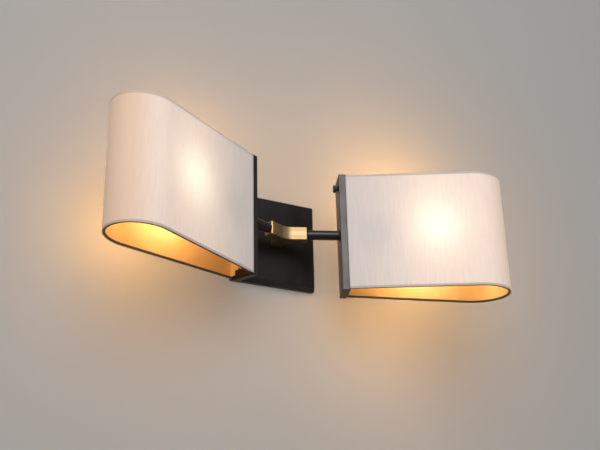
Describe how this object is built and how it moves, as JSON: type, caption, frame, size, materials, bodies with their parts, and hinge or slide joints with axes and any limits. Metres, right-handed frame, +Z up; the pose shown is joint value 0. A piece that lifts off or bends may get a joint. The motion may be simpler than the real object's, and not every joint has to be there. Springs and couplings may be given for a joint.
{
  "type": "double arm wall sconce",
  "caption": "Double arm wall sconce: square wall plate, brass Y hub, level arms, upright bars and teardrop fabric shades that slide off when the thumb screws are turned out.",
  "frame": {"origin": "centre of the wall plate on the wall, midway between the two strap slots", "axes": "+X right along the wall, +Y into the wall, +Z up"},
  "size_m": [0.546, 0.174, 0.1616],
  "materials": {
    "black_metal": "satin",
    "zinc_steel": "satin",
    "green_screw": "gloss",
    "brushed_brass": "brushed",
    "brass": "satin",
    "white_plastic": "matte",
    "bronze_metal": "satin",
    "shade_cloth": "woven",
    "gold_lining": "satin gold foil",
    "cream_plastic": "gloss",
    "nickel_cap": "satin",
    "solder": "dull",
    "frosted_glass": "frosted",
    "lead_cover": "matte"
  },
  "bodies": {
    "fixture": {"anti_turn_pin": "zinc_steel", "arm_nipple_left": "zinc_steel", "arm_nipple_right": "zinc_steel", "arm_nut_left": "brass", "arm_nut_right": "brass", "arm_tube_left": "black_metal", "arm_tube_right": "black_metal", "cover_screws": "black_metal", "earth_screw": "green_screw", "holder_body_left": "cream_plastic", "holder_body_right": "cream_plastic", "holder_cup_left": "bronze_metal", "holder_cup_right": "bronze_metal", "holder_shell_left": "brass", "holder_shell_right": "brass", "hub": "brushed_brass", "hub_nipple": "zinc_steel", "hub_nut": "zinc_steel", "hub_washer": "zinc_steel", "lead_left": "lead_cover", "lead_right": "lead_cover", "mounting_strap": "zinc_steel", "shade_bar_left": "black_metal", "shade_bar_right": "black_metal", "terminal_block": "white_plastic", "terminal_screw": "zinc_steel", "wall_plate": "black_metal"},
    "shade_left": {"shade_carrier_left": "bronze_metal", "locating_pin_left": "brass", "shade_fabric_left": "shade_cloth", "shade_lining_left": "gold_lining", "shade_rim_top_left": "bronze_metal", "shade_rim_bottom_left": "bronze_metal"},
    "collar_left": {"thumb_collar_left": "black_metal"},
    "screw_left": {"thumb_screw_left": "black_metal"},
    "contact_left": {"holder_contact_left": "brass"},
    "lamp_left": {"lamp_cap_left": "nickel_cap", "lamp_tip_left": "solder", "bulb_left": "frosted_glass"},
    "shade_right": {"shade_carrier_right": "bronze_metal", "locating_pin_right": "brass", "shade_fabric_right": "shade_cloth", "shade_lining_right": "gold_lining", "shade_rim_top_right": "bronze_metal", "shade_rim_bottom_right": "bronze_metal"},
    "collar_right": {"thumb_collar_right": "black_metal"},
    "screw_right": {"thumb_screw_right": "black_metal"},
    "contact_right": {"holder_contact_right": "brass"},
    "lamp_right": {"lamp_cap_right": "nickel_cap", "lamp_tip_right": "solder", "bulb_right": "frosted_glass"}
  },
  "joints": [
    {"name": "shade_slide_left", "type": "slide", "parent": "fixture", "child": "shade_left", "axis": [-0.9171, -0.3987, 0], "range_m": [0, 0.03]},
    {"name": "collar_slide_left", "type": "slide", "parent": "fixture", "child": "collar_left", "axis": [0.9171, 0.3987, 0], "range_m": [0, 0.00699]},
    {"name": "thumb_screw_turn_left", "type": "hinge", "parent": "collar_left", "child": "screw_left", "pos_m": [-0.06685, -0.06457, 0.0672], "axis": [0.9171, 0.3987, 0], "range_deg": [0, 3600]},
    {"name": "contact_slide_left", "type": "slide", "parent": "fixture", "child": "contact_left", "axis": [-0.9171, -0.3987, 0], "range_m": [0, 0.00148]},
    {"name": "lamp_turn_left", "type": "hinge", "parent": "contact_left", "child": "lamp_left", "pos_m": [-0.11463, -0.08534, 0], "axis": [-0.9171, -0.3987, 0], "range_deg": [0, 210]},
    {"name": "shade_slide_right", "type": "slide", "parent": "fixture", "child": "shade_right", "axis": [0.9171, -0.3987, 0], "range_m": [0, 0.03]},
    {"name": "collar_slide_right", "type": "slide", "parent": "fixture", "child": "collar_right", "axis": [-0.9171, 0.3987, 0], "range_m": [0, 0.00699]},
    {"name": "thumb_screw_turn_right", "type": "hinge", "parent": "collar_right", "child": "screw_right", "pos_m": [0.06685, -0.06457, 0.0672], "axis": [-0.9171, 0.3987, 0], "range_deg": [0, 3600]},
    {"name": "contact_slide_right", "type": "slide", "parent": "fixture", "child": "contact_right", "axis": [0.9171, -0.3987, 0], "range_m": [0, 0.00148]},
    {"name": "lamp_turn_right", "type": "hinge", "parent": "contact_right", "child": "lamp_right", "pos_m": [0.11463, -0.08534, 0], "axis": [0.9171, -0.3987, 0], "range_deg": [0, 210]}
  ],
  "couplings": [
    {"joint": "thumb_screw_turn_left", "follows": "collar_slide_left", "rad_per_m": 8976},
    {"joint": "lamp_turn_left", "follows": "contact_slide_left", "rad_per_m": 2473.7},
    {"joint": "thumb_screw_turn_right", "follows": "collar_slide_right", "rad_per_m": 8976},
    {"joint": "lamp_turn_right", "follows": "contact_slide_right", "rad_per_m": 2473.7}
  ]
}
